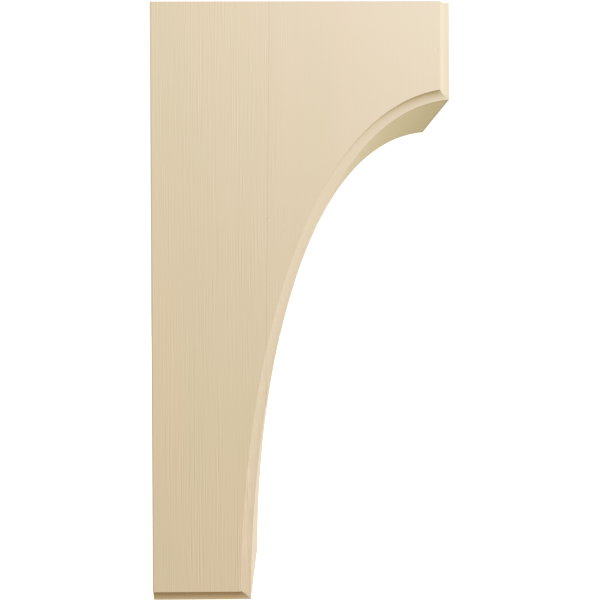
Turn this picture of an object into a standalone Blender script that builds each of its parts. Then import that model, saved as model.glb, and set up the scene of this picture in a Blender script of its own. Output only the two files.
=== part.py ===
"""Carved wooden bracket for Blender 4.5: a glued-up block with a swept front and a coved edge.

Metres, +Z up. The flat back that goes against a wall lies in the plane X = 0, with the origin at its
middle. The bracket reaches out along +X, is highest at its nose, and is symmetric about Y = 0.
"""

import math

import bmesh
import bpy
from mathutils import Vector

# Driving dimensions
HEIGHT = 0.3556
PROJECTION = 0.1778
THICKNESS = 0.13335
NOSE_HEIGHT = 0.0575
FOOT_DEPTH = 0.058

# The cove is a small square step in from the flank, then a shallow hollow out to the front.
# The hollow's sag is how far its middle lies below the straight line between its ends.
COVE_WIDTH = 0.0058
COVE_DEPTH = 0.0045
COVE_STEP = 0.0018
HOLLOW_SAG = 0.00035

# The front curve is one cubic. It leaves the nose a little below the horizontal and meets the foot upright.
NOSE_SLOPE = math.radians(5)
NOSE_PULL = 0.085
FOOT_PULL = 0.125

# Smoothness of the curve and of the hollow
CURVE_STEPS = 96
HOLLOW_STEPS = 7

TOP_Z = HEIGHT / 2
FOOT_Z = -HEIGHT / 2
NOSE_Z = TOP_Z - NOSE_HEIGHT
FLANK_Y = THICKNESS / 2

HALVINGS = 40
MERGE_DISTANCE = 1e-5
SHARP_ANGLE = math.radians(30)
WOOD_COLOUR = (0.69, 0.53, 0.34, 1.0)
WOOD_ROUGHNESS = 0.62


def clear_scene():
    """Empty the scene without closing the file that this runs from."""
    for obj in list(bpy.data.objects):
        bpy.data.objects.remove(obj, do_unlink=True)


def new_collection(name):
    """A collection of this name, linked to the scene."""
    collection = bpy.data.collections.new(name)
    bpy.context.scene.collection.children.link(collection)
    return collection


def wood_material():
    """Bare, sanded, pale hardwood."""
    material = bpy.data.materials.new("wood")
    material.use_nodes = True
    shader = material.node_tree.nodes["Principled BSDF"]
    shader.inputs["Base Color"].default_value = WOOD_COLOUR
    shader.inputs["Roughness"].default_value = WOOD_ROUGHNESS
    shader.inputs["Metallic"].default_value = 0.0
    return material


def front_controls():
    """The four control points (x, z) of the front curve, from the nose's lower edge to the foot's."""
    nose = Vector((PROJECTION, NOSE_Z))
    foot = Vector((FOOT_DEPTH, FOOT_Z))
    leaving_nose = Vector((-math.cos(NOSE_SLOPE), -math.sin(NOSE_SLOPE)))
    return [nose, nose + NOSE_PULL * leaving_nose, foot + Vector((0.0, FOOT_PULL)), foot]


def inset_front(t, inset):
    """Point (x, z) at t along the front curve, moved into the wood by the inset."""
    a, b, c, d = front_controls()
    s = 1 - t
    place = s**3 * a + 3 * s * s * t * b + 3 * s * t * t * c + t**3 * d
    heading = (s * s * (b - a) + 2 * s * t * (c - b) + t * t * (d - c)).normalized()
    into_wood = Vector((heading.y, -heading.x))
    return place + inset * into_wood


def falling_root(function):
    """Where a function that falls through zero between 0 and 1 does so."""
    low = 0.0
    high = 1.0
    for _ in range(HALVINGS):
        middle = (low + high) / 2
        if function(middle) > 0:
            low = middle
        else:
            high = middle
    return (low + high) / 2


def section(y, inset):
    """The side outline at this depth, set back by the inset along the bottom, the front curve and the nose.

    The set-back sides are trimmed where they meet, so the sections together make mitred corners.
    """
    nose = falling_root(lambda t: inset_front(t, inset).x - (PROJECTION - inset))
    foot = falling_root(lambda t: inset_front(t, inset).y - (FOOT_Z + inset))
    outline = [Vector((0.0, FOOT_Z + inset))]
    for step in range(CURVE_STEPS + 1):
        outline.append(inset_front(foot + (nose - foot) * step / CURVE_STEPS, inset))
    outline += [Vector((PROJECTION - inset, TOP_Z)), Vector((0.0, TOP_Z))]
    return [Vector((place.x, y, place.y)) for place in outline]


def near_half_sections():
    """Sections from the near flank, down the cove's step and along its hollow, to the middle plane."""
    sections = [section(-FLANK_Y, COVE_WIDTH)]
    for step in range(HOLLOW_STEPS + 1):
        t = step / HOLLOW_STEPS
        sag = 4 * HOLLOW_SAG * t * (1 - t)
        depth = COVE_STEP + (COVE_DEPTH - COVE_STEP) * t + sag
        sections.append(section(-FLANK_Y + depth, COVE_WIDTH * (1 - t)))
    sections.append(section(0.0, 0.0))
    return sections


def half_block(name):
    """The near half, open at the middle plane: a flank, then bands of faces between the sections."""
    block = bmesh.new()
    rings = [[block.verts.new(place) for place in places] for places in near_half_sections()]
    block.faces.new(rings[0])
    for ring, following in zip(rings, rings[1:]):
        for i in range(len(ring)):
            block.faces.new((ring[i], ring[i - 1], following[i - 1], following[i]))
    mesh = bpy.data.meshes.new(name)
    block.to_mesh(mesh)
    block.free()
    return mesh


def make_bracket(collection):
    """The whole bracket: one solid, as carved from one block."""
    mesh = half_block("bracket")
    mesh.materials.append(wood_material())
    mesh.shade_smooth()
    mesh.set_sharp_from_angle(angle=SHARP_ANGLE)
    bracket = bpy.data.objects.new("bracket", mesh)
    collection.objects.link(bracket)
    halves = bracket.modifiers.new("halves", "MIRROR")
    halves.use_axis = (False, True, False)
    halves.merge_threshold = MERGE_DISTANCE
    return bracket


clear_scene()
make_bracket(new_collection("wooden bracket"))
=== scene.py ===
"""Looks of the wooden bracket: bare, sanded, pale hardwood glued up from two boards, on a white light table.

Metres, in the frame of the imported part: the back lies in X = 0, the nose points along +X and +Z is up.
"""

import math

import bmesh
import bpy
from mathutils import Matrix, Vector


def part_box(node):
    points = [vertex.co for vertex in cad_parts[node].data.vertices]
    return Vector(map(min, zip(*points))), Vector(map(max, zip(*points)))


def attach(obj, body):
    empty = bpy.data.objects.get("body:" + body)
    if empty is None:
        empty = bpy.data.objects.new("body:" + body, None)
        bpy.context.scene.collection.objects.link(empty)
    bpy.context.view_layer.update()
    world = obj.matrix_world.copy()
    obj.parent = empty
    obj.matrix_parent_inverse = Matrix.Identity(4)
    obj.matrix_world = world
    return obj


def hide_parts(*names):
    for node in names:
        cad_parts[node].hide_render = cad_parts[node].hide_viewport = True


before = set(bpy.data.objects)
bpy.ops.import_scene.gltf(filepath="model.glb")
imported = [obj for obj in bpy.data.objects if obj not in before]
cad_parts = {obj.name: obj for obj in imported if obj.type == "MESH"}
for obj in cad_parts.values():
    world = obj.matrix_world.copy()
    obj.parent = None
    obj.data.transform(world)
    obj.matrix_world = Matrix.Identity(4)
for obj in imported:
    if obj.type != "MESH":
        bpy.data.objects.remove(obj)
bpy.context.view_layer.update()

# The block, as large as the solid that it replaces
LOW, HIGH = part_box("bracket")
PROJECTION = HIGH.x
FLANK_Y = HIGH.y
FOOT_Z = LOW.z
TOP_Z = HIGH.z
NOSE_HEIGHT = 0.0575
NOSE_Z = TOP_Z - NOSE_HEIGHT
FOOT_DEPTH = 0.058

# The cove is a small square step in from the flank, then a shallow hollow out to the front.
# The hollow's sag is how far its middle lies below the straight line between its ends.
COVE_WIDTH = 0.0058
COVE_DEPTH = 0.0045
COVE_STEP = 0.0018
HOLLOW_SAG = 0.00035
HOLLOW_STEPS = 15
COVE_BANDS = HOLLOW_STEPS + 1

# The front curve is one cubic. It leaves the nose a little below the horizontal and meets the foot upright.
NOSE_SLOPE = math.radians(5)
NOSE_PULL = 0.085
FOOT_PULL = 0.125
CURVE_STEPS = 300
HALVINGS = 40

# The places of the foot's and the nose's lower corner in the list of a section's points
FOOT_CORNER = 1
NOSE_CORNER = FOOT_CORNER + CURVE_STEPS

# Every outer corner is eased by a touch of sandpaper, apart from the mitres, which are cut and left.
ARRIS_WIDTH = 0.0003
ARRIS_STEPS = 3
ARRIS_PROFILE = 0.5
ARRIS_ANGLE = math.radians(50)
SHARP_ANGLE = math.radians(40)

# The boards, glued edge to edge along a line that leans a little, and the hearts of their trees.
# The shift gives the front board a stretch of the noises that is its own.
SEAM_X = 0.0682
SEAM_LEAN = 0.0138
SEAM_WIDTH = 0.0008
BACK_HEART = (0.030, 0.190)
FRONT_HEART = (0.135, -0.215)
BOARD_SHIFT = (0.37, 0.23, 0.61)

# The growth rings are a noise of the distance from the heart, which leans and wavers on the way up.
RING_CYCLES = 260.0
RING_DETAIL = 2.0
RING_LEAN = 0.012
RING_WAVER = 0.006
WAVER_CYCLES = (14.0, 5.0)

# The noises of the grain, in cycles a metre across it and along it
LONG_LINE_CYCLES = (1900.0, 22.0)
SHORT_LINE_CYCLES = (1900.0, 65.0)
VESSEL_CYCLES = (1250.0, 24.0)
BUNDLE_CYCLES = (170.0, 30.0)
HUE_CYCLES = (40.0, 7.0)
PATCH_CYCLES = (30.0, 4.0)

# Half the width of a fine line and its gap, and the shift that gives the short lines a noise of their own
HALF_LINE = 0.0007
SHORT_LINE_SHIFT = (1.7, 2.9, 0.9)

# The stretches of a noise over which the vessels, the bundles of lines and the cooler hue come in
VESSEL_RANGE = (0.60, 0.72)
BUNDLE_RANGE = (0.38, 0.62)
HUE_RANGE = (0.35, 0.65)

# How much the joint and each part of the grain lighten or darken the wood
LONG_LINE_TONE = 0.17
SHORT_LINE_TONE = 0.09
VESSEL_TONE = -0.020
SEAM_TONE = -0.12
PATCH_TONE = 0.03
RING_TONE = 0.02
END_RING_TONE = 0.28

# The lines stand out in bundles. They are open in the back board, close up across this stretch by the front
# one, and stand out more at the foot.
BETWEEN_BUNDLES = 0.35
OPEN_TO_X = 0.060
CLOSED_FROM_X = 0.095
CLOSED_GRAIN = 0.08
FOOT_GRAIN = 1.6
FOOT_GRAIN_FADE = (-0.12, -0.06)

# How far up or down a face has to look to begin to show end grain, and to show nothing else
END_GRAIN_RANGE = (0.25, 0.90)

# Colours of the wood
LONG_GRAIN_WARM = (0.692, 0.567, 0.388)
LONG_GRAIN_COOL = (0.677, 0.567, 0.383)
LINE_TINT = (0.8, 1.0, 1.3)
END_GRAIN = (0.77, 0.77, 0.57)
# Painted shade on the eased corners
ARRIS_SHADE = (0.78, 0.71, 0.60)
WHITE = (1.0, 1.0, 1.0)

# Surface of the wood
ROUGHNESS = 0.50
LINE_ROUGHNESS = 0.16
SPECULAR = 0.7
SEAM_HEIGHT = -0.8
BUMP_STRENGTH = 0.25
BUMP_DISTANCE = 0.0001

# How much the coves are browned, partly scorch from the cutter and partly painted shade in their hollows:
# wholly at the bottom, where it ran across the grain, and a little on the curve, both where it runs across
# the grain and where it runs along it
SCORCH_AND_SHADE = (0.54, 0.37, 0.18)
BOTTOM_SCORCH_AND_SHADE = 1.0
CURVE_SCORCH_AND_SHADE_ACROSS = 0.10
CURVE_SCORCH_AND_SHADE_ALONG = 0.13
SCORCH_AND_SHADE_AT_EDGE = 0.25

# Painted light on the coves, which lightens and cools their colour: on the curve, most towards the front, and
# on the nose
COVE_PAINTED_LIGHT = (1.08, 1.13, 1.22)
PAINTED_LIGHT_AT_FLANK = 0.3
NOSE_PAINTED_LIGHT = 0.2

# Painted shade on the end grain under the curve, in a strip beside each cove and in a narrower one along the
# nose.
UNDERSIDE_SHADE = (0.87, 0.81, 0.74)
UNDERSIDE_SHADE_BY_COVE = 0.008
UNDERSIDE_SHADE_BY_NOSE = 0.002

# Small marks on the near flank; the last is painted shade along its back edge. For each: its middle's x and
# z, half its width, half its height, and how much it darkens, which is below 0 where it is lighter.
MARKS_AND_EDGE_SHADE = (
    (0.0689, 0.0492, 0.0009, 0.0008, 0.12),
    (0.0702, 0.0484, 0.0010, 0.0007, -0.08),
    (0.0790, 0.0425, 0.0007, 0.0013, 0.11),
    (0.0790, 0.0510, 0.0005, 0.0090, 0.05),
    (0.0632, 0.0232, 0.0006, 0.0012, 0.07),
    (0.1700, 0.1485, 0.0007, 0.0017, 0.08),
    (0.1692, 0.1489, 0.0007, 0.0019, -0.07),
    (0.0395, 0.0328, 0.0007, 0.0260, 0.05),
    # Painted shade along the back edge
    (0.0000, 0.0000, 0.0011, 1.0000, 0.26),
)

# How deep the marks go, and the share of a mark's size over which it is at its full strength
MARK_DEPTH = 0.0005
MARK_CORE = 0.2

# Light
ROOM_COLOUR = (1.07, 1.0, 0.82)
ROOM_STRENGTH = 0.69
BACKDROP_STRENGTH = 1.1

KEY_COLOUR = (0.89, 1.0, 1.36)
KEY_PLACE = (0.42, -0.80, 0.55)
KEY_TARGET = (0.12, 0.0, 0.10)
KEY_SIZE = 0.40
KEY_POWER = 4.35

SIDE_COLOUR = (0.94, 1.02, 1.38)
SIDE_PLACE = (1.20, 0.15, -0.05)
SIDE_TARGET = (0.12, 0.0, -0.02)
SIDE_SIZE = 0.24
SIDE_POWER = 6.1

# The light table
FLOOR_SIZE = 8.0
FLOOR_GLOW = 0.80
FLOOR_ROUGHNESS = 0.8
FLOOR_DARKER = (0.74, 0.74, 0.74)
FLOOR_LIGHTER = (0.78, 0.78, 0.78)
MOTTLE_CYCLES = (3.0, 3.0)
MOTTLE_DETAIL = 3.0

# The camera of the photograph
SENSOR_WIDTH = 36.0
LENS = 62.0
CAMERA_PLACE = (0.0822, -0.6793, 0.0043)
CAMERA_PITCH = math.radians(-0.313)
CAMERA_YAW = math.radians(0.551)
CAMERA_ROLL = math.radians(-0.262)

# The places of the colours among the sockets of a Mix node
MIX_FIRST = 6
MIX_SECOND = 7
MIX_RESULT = 2


def front_controls():
    """The four control points (x, z) of the front curve, from the nose's lower edge to the foot's."""
    nose = Vector((PROJECTION, NOSE_Z))
    foot = Vector((FOOT_DEPTH, FOOT_Z))
    leaving_nose = Vector((-math.cos(NOSE_SLOPE), -math.sin(NOSE_SLOPE)))
    return [nose, nose + NOSE_PULL * leaving_nose, foot + Vector((0.0, FOOT_PULL)), foot]


def inset_front(t, inset):
    """Point (x, z) at t along the front curve, moved into the wood by the inset."""
    a, b, c, d = front_controls()
    s = 1 - t
    place = s**3 * a + 3 * s * s * t * b + 3 * s * t * t * c + t**3 * d
    heading = (s * s * (b - a) + 2 * s * t * (c - b) + t * t * (d - c)).normalized()
    into_wood = Vector((heading.y, -heading.x))
    return place + inset * into_wood


def falling_root(function):
    """Where a function that falls through zero between 0 and 1 does so."""
    low = 0.0
    high = 1.0
    for _ in range(HALVINGS):
        middle = (low + high) / 2
        if function(middle) > 0:
            low = middle
        else:
            high = middle
    return (low + high) / 2


def section(y, inset):
    """The side outline at this depth, set back by the inset along the bottom, the curve and the nose."""
    nose = falling_root(lambda t: inset_front(t, inset).x - (PROJECTION - inset))
    foot = falling_root(lambda t: inset_front(t, inset).y - (FOOT_Z + inset))
    outline = [Vector((0.0, FOOT_Z + inset))]
    for step in range(CURVE_STEPS + 1):
        outline.append(inset_front(foot + (nose - foot) * step / CURVE_STEPS, inset))
    outline += [Vector((PROJECTION - inset, TOP_Z)), Vector((0.0, TOP_Z))]
    return [Vector((place.x, y, place.y)) for place in outline]


def sections():
    """Sections from the near flank to the far one, closer together in the hollow of each cove."""
    near = [(-FLANK_Y, COVE_WIDTH)]
    for step in range(HOLLOW_STEPS + 1):
        t = step / HOLLOW_STEPS
        sag = 4 * HOLLOW_SAG * t * (1 - t)
        depth = COVE_STEP + (COVE_DEPTH - COVE_STEP) * t + sag
        near.append((-FLANK_Y + depth, COVE_WIDTH * (1 - t)))
    far = [(-y, inset) for y, inset in reversed(near)]
    return [section(y, inset) for y, inset in near + far]


def mark_cove(faces, ring, outwards, scorch_and_shade, pale):
    """Marks where one band of a cove gets scorch and painted shade, and where it gets painted light, from the
    bottom round to the nose.

    The band lies at this share of the way outwards from the flank.
    """
    # The scorch and painted shade are strongest by the flank and fall to about a quarter at the cove's outer
    # edge
    scorch_and_shade_share = 1.0 - (1.0 - SCORCH_AND_SHADE_AT_EDGE) * outwards
    # Painted light, weaker by the flank and at its full strength at the cove's outer edge
    painted_light_share = PAINTED_LIGHT_AT_FLANK + (1.0 - PAINTED_LIGHT_AT_FLANK) * outwards
    faces[FOOT_CORNER][scorch_and_shade] = scorch_and_shade_share * BOTTOM_SCORCH_AND_SHADE
    for i in range(FOOT_CORNER + 1, NOSE_CORNER + 1):
        run = ring[i].co - ring[i - 1].co
        across_grain = abs(run.x) / run.length
        curve_scorch_and_shade = CURVE_SCORCH_AND_SHADE_ALONG + (CURVE_SCORCH_AND_SHADE_ACROSS - CURVE_SCORCH_AND_SHADE_ALONG) * across_grain
        faces[i][scorch_and_shade] = scorch_and_shade_share * curve_scorch_and_shade
        # Painted light on the curve's cove, most where the curve runs across the grain
        faces[i][pale] = painted_light_share * across_grain
    # Painted light on the nose's cove
    faces[NOSE_CORNER + 1][pale] = NOSE_PAINTED_LIGHT


def ease_arrises(block, mitres, arris):
    """Rounds each outer corner of the block a little, and marks the faces that this makes."""
    corners = []
    for edge in block.edges:
        if edge.calc_face_angle_signed() > ARRIS_ANGLE and edge not in mitres:
            corners.append(edge)
    rounded = bmesh.ops.bevel(
        block,
        geom=corners,
        offset=ARRIS_WIDTH,
        segments=ARRIS_STEPS,
        profile=ARRIS_PROFILE,
        affect="EDGES",
    )
    for face in rounded["faces"]:
        face[arris] = 1.0


def bracket_mesh(name):
    """The block as bands of faces between the sections, closed by the two flanks."""
    block = bmesh.new()
    # Face layers for the scorch and painted shade of the coves, the painted light on them, and the painted
    # shade on the eased corners
    scorch_and_shade = block.faces.layers.float.new("scorch_and_shade")
    pale = block.faces.layers.float.new("pale")
    arris = block.faces.layers.float.new("arris")
    rings = [[block.verts.new(place) for place in places] for places in sections()]
    block.faces.new(rings[0])
    block.faces.new(reversed(rings[-1]))
    mitres = set()
    for band, (ring, following) in enumerate(zip(rings, rings[1:])):
        faces = []
        for i in range(len(ring)):
            faces.append(block.faces.new((ring[i], ring[i - 1], following[i - 1], following[i])))
        from_flank = min(band, 2 * COVE_BANDS - band)
        if from_flank < COVE_BANDS:
            mark_cove(faces, ring, from_flank / COVE_BANDS, scorch_and_shade, pale)
            for corner in (FOOT_CORNER, NOSE_CORNER):
                mitres.add(block.edges.get((ring[corner], following[corner])))
    ease_arrises(block, mitres, arris)
    mesh = bpy.data.meshes.new(name)
    block.to_mesh(mesh)
    block.free()
    return mesh


def add(tree, kind, inputs, **settings):
    """A shader node. Each input is given a number, a colour or the output that feeds it."""
    made = tree.nodes.new("ShaderNode" + kind)
    for name, value in settings.items():
        setattr(made, name, value)
    for key, value in inputs.items():
        if isinstance(value, bpy.types.NodeSocket):
            tree.links.new(value, made.inputs[key])
        else:
            made.inputs[key].default_value = value
    return made


def calculate(tree, operation, *values):
    """The result of one sum."""
    return add(tree, "Math", dict(enumerate(values)), operation=operation).outputs[0]


def add_share(tree, value, share, total):
    """The total with a share of the value added, counted from the middle of the value's range."""
    from_middle = calculate(tree, "SUBTRACT", value, 0.5)
    return calculate(tree, "MULTIPLY_ADD", from_middle, share, total)


def vector(tree, operation, *values):
    """The result of one sum with vectors."""
    return add(tree, "VectorMath", dict(enumerate(values)), operation=operation).outputs[0]


def scaled(tree, place, scale):
    """A vector times a number."""
    return add(tree, "VectorMath", {0: place, "Scale": scale}, operation="SCALE").outputs[0]


def length(tree, place):
    """How long a vector is."""
    return add(tree, "VectorMath", {0: place}, operation="LENGTH").outputs["Value"]


def split(tree, place):
    """The X, Y and Z of a vector."""
    return add(tree, "SeparateXYZ", {0: place}).outputs


def ramp(tree, value, start, end, first=0.0, last=1.0):
    """The value taken smoothly from one range to another, and held outside it."""
    inputs = {"Value": value, "From Min": start, "From Max": end, "To Min": first, "To Max": last}
    return add(tree, "MapRange", inputs, interpolation_type="SMOOTHSTEP").outputs[0]


def noise(tree, place, cycles, detail=1.0):
    """Noise about 0.5, with so many cycles a metre across the grain and along it."""
    across, along = cycles
    stretched = vector(tree, "MULTIPLY", place, (across, across, along))
    return add(tree, "TexNoise", {"Vector": stretched, "Scale": 1.0, "Detail": detail}).outputs[0]


def mix_colours(tree, share, first, second):
    """The first colour where the share is 0, and the second where it is 1."""
    inputs = {"Factor": share, MIX_FIRST: (*first, 1.0), MIX_SECOND: (*second, 1.0)}
    return add(tree, "Mix", inputs, data_type="RGBA").outputs[MIX_RESULT]


def tinted(tree, colour, share, tint):
    """The colour, multiplied by the tint where the share is 1."""
    return vector(tree, "MULTIPLY", colour, mix_colours(tree, share, WHITE, tint))


def boards(tree, place):
    """How much of the joint a place shows, whether it is in the front board, and its place in the noises."""
    parts = split(tree, place)
    seam_x = calculate(tree, "MULTIPLY_ADD", parts["Z"], SEAM_LEAN, SEAM_X)
    from_seam = calculate(tree, "SUBTRACT", parts["X"], seam_x)
    seam = ramp(tree, calculate(tree, "ABSOLUTE", from_seam), 0.0, SEAM_WIDTH / 2, 1.0, 0.0)
    in_front = calculate(tree, "GREATER_THAN", from_seam, 0.0)
    in_board = vector(tree, "ADD", place, scaled(tree, BOARD_SHIFT, in_front))
    return seam, in_front, in_board


def growth_rings(tree, place, in_front):
    """Noise about 0.5 that follows the growth rings round each board's heart."""
    back_x, back_y = BACK_HEART
    front_x, front_y = FRONT_HEART
    heart_x = calculate(tree, "MULTIPLY_ADD", in_front, front_x - back_x, back_x)
    heart_y = calculate(tree, "MULTIPLY_ADD", in_front, front_y - back_y, back_y)
    heart = add(tree, "CombineXYZ", {"X": heart_x, "Y": heart_y}).outputs[0]
    level = vector(tree, "MULTIPLY", vector(tree, "SUBTRACT", place, heart), (1.0, 1.0, 0.0))
    up = split(tree, place)["Z"]
    waver = noise(tree, place, WAVER_CYCLES)
    distance = calculate(tree, "MULTIPLY_ADD", up, RING_LEAN, length(tree, level))
    distance = calculate(tree, "MULTIPLY_ADD", waver, RING_WAVER, distance)
    inputs = {"W": distance, "Scale": RING_CYCLES, "Detail": RING_DETAIL}
    return add(tree, "TexNoise", inputs, noise_dimensions="1D").outputs[0]


def fine_lines(tree, place, cycles):
    """Evenly fine lines along the grain, about 0: a noise less its mean half a line to either side."""
    sides = (-HALF_LINE, HALF_LINE)
    lines = noise(tree, place, cycles, detail=0.0)
    for side in sides:
        beside = noise(tree, vector(tree, "ADD", place, (side, 0.0, 0.0)), cycles, detail=0.0)
        lines = calculate(tree, "MULTIPLY_ADD", beside, -1.0 / len(sides), lines)
    return lines


def grain_strengths(tree, place, in_board):
    """How much the fine lines stand out: by bundle, less towards the nose and more towards the foot."""
    parts = split(tree, place)
    bundles = noise(tree, in_board, BUNDLE_CYCLES, detail=0.0)
    return (
        ramp(tree, bundles, *BUNDLE_RANGE, BETWEEN_BUNDLES, 1.0),
        ramp(tree, parts["X"], OPEN_TO_X, CLOSED_FROM_X, 1.0, CLOSED_GRAIN),
        ramp(tree, parts["Z"], *FOOT_GRAIN_FADE, FOOT_GRAIN, 1.0),
    )


def grain_lines(tree, place, in_board, long_lines):
    """The fine straight lines of the grain, about 0: soft long ones, short ones and dark vessels."""
    elsewhere = vector(tree, "ADD", in_board, SHORT_LINE_SHIFT)
    short_lines = fine_lines(tree, elsewhere, SHORT_LINE_CYCLES)
    vessels = ramp(tree, noise(tree, in_board, VESSEL_CYCLES, detail=0.0), *VESSEL_RANGE)
    lines = calculate(tree, "MULTIPLY", vessels, VESSEL_TONE)
    lines = calculate(tree, "MULTIPLY_ADD", long_lines, LONG_LINE_TONE, lines)
    lines = calculate(tree, "MULTIPLY_ADD", short_lines, SHORT_LINE_TONE, lines)
    for strength in grain_strengths(tree, place, in_board):
        lines = calculate(tree, "MULTIPLY", lines, strength)
    return lines


def marks_and_edge_shade_on_flank(tree, place):
    """The darkening by the small marks on the near flank, and the painted shade along its back edge."""
    total = 0.0
    for x, z, half_width, half_height, darkening in MARKS_AND_EDGE_SHADE:
        from_middle = vector(tree, "SUBTRACT", place, (x, 0.0, z))
        in_mark = vector(tree, "MULTIPLY", from_middle, (1 / half_width, 0.0, 1 / half_height))
        mark = ramp(tree, length(tree, in_mark), MARK_CORE, 1.0, darkening, 0.0)
        total = calculate(tree, "ADD", mark, total)
    on_flank = calculate(tree, "LESS_THAN", split(tree, place)["Y"], MARK_DEPTH - FLANK_Y)
    return calculate(tree, "MULTIPLY", total, on_flank)


def wood_tone(tree, place, in_board, seam, rings, end_grain):
    """Lightness of the wood without its fine lines, about 1: the joint, the rings, soft patches, marks and
    the painted shade along the near flank's back edge.
    """
    patches = noise(tree, in_board, PATCH_CYCLES)
    end_ring_tone = calculate(tree, "MULTIPLY", end_grain, END_RING_TONE)
    tone = calculate(tree, "MULTIPLY_ADD", seam, SEAM_TONE, 1.0)
    tone = add_share(tree, rings, RING_TONE, tone)
    tone = add_share(tree, patches, PATCH_TONE, tone)
    tone = add_share(tree, rings, end_ring_tone, tone)
    return calculate(tree, "SUBTRACT", tone, marks_and_edge_shade_on_flank(tree, place))


def underside_shade_strips(tree, place, facing_up):
    """Where a face that looks down gets painted shade: beside the coves and along the nose."""
    parts = split(tree, place)
    from_middle = calculate(tree, "ABSOLUTE", parts["Y"])
    front_edge = FLANK_Y - COVE_DEPTH
    beside_cove = ramp(tree, from_middle, front_edge - UNDERSIDE_SHADE_BY_COVE, front_edge)
    along_nose = ramp(tree, parts["X"], PROJECTION - UNDERSIDE_SHADE_BY_NOSE, PROJECTION)
    below = calculate(tree, "LESS_THAN", facing_up, 0.0)
    return calculate(tree, "MULTIPLY", calculate(tree, "MAXIMUM", beside_cove, along_nose), below)


def wood_hue(tree, place, in_board, facing_up, end_grain):
    """Colour of the wood without its lines: long or end grain, then painted shade under the curve, scorch and
    painted shade in the coves, painted light on them and painted shade on the eased corners.
    """
    cooler = ramp(tree, noise(tree, in_board, HUE_CYCLES), *HUE_RANGE)
    colour = mix_colours(tree, cooler, LONG_GRAIN_WARM, LONG_GRAIN_COOL)
    colour = tinted(tree, colour, end_grain, END_GRAIN)
    # Painted shade on the end grain beside the coves and along the nose
    underside_shade = calculate(tree, "MULTIPLY", underside_shade_strips(tree, place, facing_up), end_grain)
    colour = tinted(tree, colour, underside_shade, UNDERSIDE_SHADE)
    # Scorch and painted shade in the coves, painted light on them, and painted shade on the eased corners
    for layer, tint in (("scorch_and_shade", SCORCH_AND_SHADE), ("pale", COVE_PAINTED_LIGHT), ("arris", ARRIS_SHADE)):
        share = add(tree, "Attribute", {}, attribute_name=layer).outputs["Fac"]
        colour = tinted(tree, colour, share, tint)
    return colour


def wood_material():
    """Bare, sanded, pale hardwood, as a solid texture with upright grain, and end grain across it."""
    material = bpy.data.materials.new("pale_hardwood")
    material.use_nodes = True
    tree = material.node_tree
    shader = tree.nodes["Principled BSDF"]
    coordinates = add(tree, "TexCoord", {}).outputs
    place = coordinates["Object"]
    facing_up = split(tree, coordinates["Normal"])["Z"]
    end_grain = ramp(tree, calculate(tree, "ABSOLUTE", facing_up), *END_GRAIN_RANGE)

    seam, in_front, in_board = boards(tree, place)
    rings = growth_rings(tree, place, in_front)
    long_lines = fine_lines(tree, in_board, LONG_LINE_CYCLES)
    lines = grain_lines(tree, place, in_board, long_lines)
    tone = wood_tone(tree, place, in_board, seam, rings, end_grain)
    lightness = vector(tree, "ADD", scaled(tree, LINE_TINT, lines), tone)
    hue = wood_hue(tree, place, in_board, facing_up, end_grain)
    tree.links.new(vector(tree, "MULTIPLY", hue, lightness), shader.inputs["Base Color"])

    roughness = calculate(tree, "MULTIPLY_ADD", long_lines, LINE_ROUGHNESS, ROUGHNESS)
    tree.links.new(roughness, shader.inputs["Roughness"])
    height = calculate(tree, "MULTIPLY_ADD", seam, SEAM_HEIGHT, long_lines)
    bump = add(tree, "Bump", {"Height": height, "Strength": BUMP_STRENGTH, "Distance": BUMP_DISTANCE})
    tree.links.new(bump.outputs[0], shader.inputs["Normal"])
    shader.inputs["Specular IOR Level"].default_value = SPECULAR
    return material


def make_bracket():
    """The whole block, which stands for the solid."""
    mesh = bracket_mesh("bracket_wood")
    mesh.materials.append(wood_material())
    mesh.shade_smooth()
    mesh.set_sharp_from_angle(angle=SHARP_ANGLE)
    bracket = bpy.data.objects.new("bracket_wood", mesh)
    bpy.context.scene.collection.objects.link(bracket)
    shading = bracket.modifiers.new("shading", "WEIGHTED_NORMAL")
    shading.keep_sharp = True
    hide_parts("bracket")
    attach(bracket, "root")


def floor_material():
    """A plain white light table, matt, with a faint mottle."""
    material = bpy.data.materials.new("light_table")
    material.use_nodes = True
    tree = material.node_tree
    shader = tree.nodes["Principled BSDF"]
    place = add(tree, "TexCoord", {}).outputs["Object"]
    mottle = noise(tree, place, MOTTLE_CYCLES, MOTTLE_DETAIL)
    tree.links.new(mix_colours(tree, mottle, FLOOR_DARKER, FLOOR_LIGHTER), shader.inputs["Base Color"])
    shader.inputs["Roughness"].default_value = FLOOR_ROUGHNESS
    shader.inputs["Emission Color"].default_value = (*WHITE, 1.0)
    shader.inputs["Emission Strength"].default_value = FLOOR_GLOW
    return material


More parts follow.
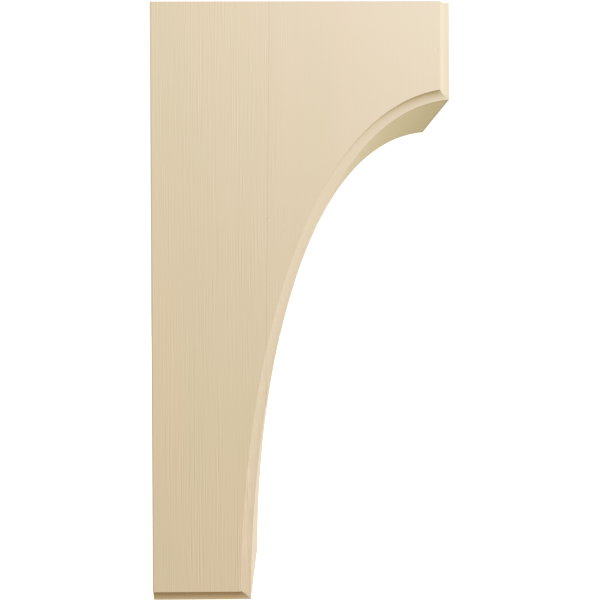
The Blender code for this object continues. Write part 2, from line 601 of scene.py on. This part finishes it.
def make_floor():
    """A floor under the bracket's foot, which throws no light back up at the wood."""
    side = FLOOR_SIZE / 2
    corners = [(-side, -side, FOOT_Z), (side, -side, FOOT_Z), (side, side, FOOT_Z), (-side, side, FOOT_Z)]
    mesh = bpy.data.meshes.new("floor")
    mesh.from_pydata(corners, [], [(0, 1, 2, 3)])
    mesh.materials.append(floor_material())
    floor = bpy.data.objects.new("floor", mesh)
    floor.visible_diffuse = False
    floor.visible_glossy = False
    bpy.context.scene.collection.objects.link(floor)


def make_lamp(name, place, target, size, power, colour):
    """A square soft lamp that shines from its place at the target."""
    lamp = bpy.data.lights.new(name, "AREA")
    lamp.size = size
    lamp.energy = power
    lamp.color = colour
    holder = bpy.data.objects.new(name, lamp)
    holder.visible_camera = False
    holder.location = place
    holder.rotation_euler = (Vector(target) - Vector(place)).to_track_quat("-Z", "Y").to_euler()
    bpy.context.scene.collection.objects.link(holder)


def light_world():
    """Even, slightly warm light from all round, in front of a white backdrop."""
    world = bpy.data.worlds.new("studio")
    world.use_nodes = True
    tree = world.node_tree
    light = tree.nodes["Background"]
    light.inputs["Color"].default_value = (*ROOM_COLOUR, 1.0)
    light.inputs["Strength"].default_value = ROOM_STRENGTH
    backdrop = add(tree, "Background", {"Color": (*WHITE, 1.0), "Strength": BACKDROP_STRENGTH})
    seen = add(tree, "LightPath", {}).outputs["Is Camera Ray"]
    both = add(tree, "MixShader", {0: seen, 1: light.outputs[0], 2: backdrop.outputs[0]})
    tree.links.new(both.outputs[0], tree.nodes["World Output"].inputs["Surface"])
    bpy.context.scene.world = world


def light_studio():
    """A soft lamp above the camera and to its right, and a smaller one beyond the nose."""
    light_world()
    make_lamp("key", KEY_PLACE, KEY_TARGET, KEY_SIZE, KEY_POWER, KEY_COLOUR)
    make_lamp("side", SIDE_PLACE, SIDE_TARGET, SIDE_SIZE, SIDE_POWER, SIDE_COLOUR)
    bpy.context.scene.view_settings.view_transform = "Standard"


def make_camera():
    """The camera at the photograph's place, level with the middle of the bracket."""
    lens = bpy.data.cameras.new("camera")
    lens.sensor_width = SENSOR_WIDTH
    lens.lens = LENS
    camera = bpy.data.objects.new("camera", lens)
    camera.location = CAMERA_PLACE
    camera.rotation_euler = (math.radians(90) + CAMERA_PITCH, -CAMERA_ROLL, -CAMERA_YAW)
    bpy.context.scene.collection.objects.link(camera)
    bpy.context.scene.camera = camera


make_bracket()
make_floor()
light_studio()
make_camera()
